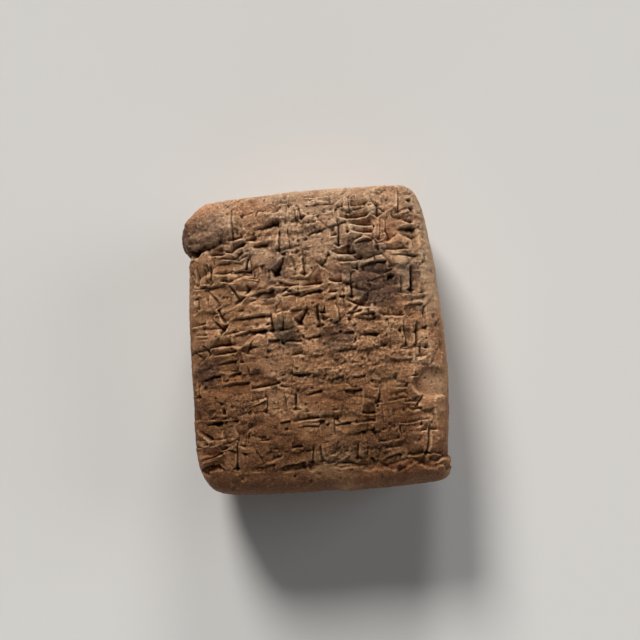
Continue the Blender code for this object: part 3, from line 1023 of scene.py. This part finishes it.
# Floor, lights and camera. Lengths in mm. A light comes from so many degrees clockwise of the top of the
# view, and so many above the floor, and it looks so many degrees wide.
stage = {
    "floor": (0.74, 0.735, 0.72, 1),
    "floorSize": 20000,
    "floorDrop": 0.02,       # how far the floor lies under the tablet
    "key": {"from": -21, "above": 32, "wide": 20, "strength": 3.3, "colour": (1.0, 0.97, 0.93)},
    "rim": {"from": 7, "above": 14, "wide": 14, "strength": 1.9, "colour": (1.0, 0.98, 0.96)},
    "edge": {"from": 76, "above": 22, "wide": 35, "strength": 0.75, "colour": (0.95, 0.97, 1.0)},
    "fill": {"from": 175, "above": 15, "wide": 50, "strength": 0.52, "colour": (1.0, 0.98, 0.95)},
    "skyColour": (0.95, 0.97, 1.0, 1),
    "sky": 0.03,             # how strongly it lights the tablet
    "backdrop": 0.62,        # how bright it looks
    "lens": 100,
    "shownWidth": 112.1,     # how much the frame takes in at the level of the face
    "turn": 5.0,             # degrees the tablet is turned to the left in the view
    "lean": (5.0, 6.0),      # degrees the camera leans to the right and towards the lower edge
    "aim": (1.4, 2.95),      # how far right of the tablet's middle and up from it the camera aims
}

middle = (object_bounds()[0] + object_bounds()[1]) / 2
turn = math.radians(stage["turn"])
viewUp = Vector((math.sin(turn), math.cos(turn), 0))
viewRight = Vector((math.cos(turn), -math.sin(turn), 0))


# A square of matt pale paper, far wider than the view
def makeFloor():
    half = stage["floorSize"] / 2 * mm
    ends = [(-half, -half, 0), (half, -half, 0), (half, half, 0), (-half, half, 0)]
    mesh = bpy.data.meshes.new("paleFloor")
    mesh.from_pydata(ends, [], [(0, 1, 2, 3)])
    floor = addObject("paleFloor", mesh)
    floor.location.z = -stage["floorDrop"] * mm
    material = bpy.data.materials.new("palePaper")
    material.use_nodes = True
    shader = material.node_tree.nodes["Principled BSDF"]
    shader.inputs["Base Color"].default_value = stage["floor"]
    shader.inputs["Roughness"].default_value = 1.0
    shader.inputs["Specular IOR Level"].default_value = 0.0
    mesh.materials.append(material)
    floor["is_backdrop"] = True


# A light as from a broad lamp far away, so that the floor is lit evenly
def makeLight(name):
    data = bpy.data.lights.new(name + "Light", "SUN")
    data.angle = math.radians(stage[name]["wide"])
    data.energy = stage[name]["strength"]
    data.color = stage[name]["colour"]
    light = addObject(name + "Light", data)
    clockwise, above = math.radians(stage[name]["from"]), math.radians(stage[name]["above"])
    flat = viewUp * math.cos(clockwise) + viewRight * math.sin(clockwise)
    towards = flat * math.cos(above) + Vector((0, 0, math.sin(above)))
    light.location = middle + towards * 0.5
    light.rotation_euler = (-towards).to_track_quat("-Z", "Y").to_euler()


# The camera leans back over the face, lens / sensor times the shown width away from what it aims at
def makeCamera():
    data = bpy.data.cameras.new("camera")
    data.lens = stage["lens"]
    camera = addObject("camera", data)
    leanRight, leanDown = (math.tan(math.radians(angle)) for angle in stage["lean"])
    back = (viewRight * leanRight - viewUp * leanDown + Vector((0, 0, 1))).normalized()
    up = (viewUp - back * viewUp.dot(back)).normalized()
    right = up.cross(back)
    aimRight, aimUp = stage["aim"]
    target = Vector((middle.x, middle.y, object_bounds()[1].z)) + (right * aimRight + up * aimUp) * mm
    distance = stage["shownWidth"] * mm * data.lens / data.sensor_width
    axes = Matrix((right, up, back)).transposed().to_4x4()
    camera.matrix_world = Matrix.Translation(target + back * distance) @ axes
    bpy.context.scene.camera = camera


# A pale backdrop that lights little
def makeBackdrop():
    world = bpy.data.worlds.new("softRoom")
    world.use_nodes = True
    tree = world.node_tree
    sky = tree.nodes["Background"]
    sky.inputs["Color"].default_value = stage["skyColour"]
    seen = addNode(tree, "LightPath").outputs["Is Camera Ray"]
    tree.links.new(remap(tree, seen, 0, 1, stage["sky"], stage["backdrop"]), sky.inputs["Strength"])
    bpy.context.scene.world = world


makeFloor()
for name in ("key", "rim", "edge", "fill"):
    makeLight(name)
makeBackdrop()
makeCamera()
bpy.context.scene.view_settings.view_transform = "Standard"
print("stage set")

bpy.context.view_layer.update()
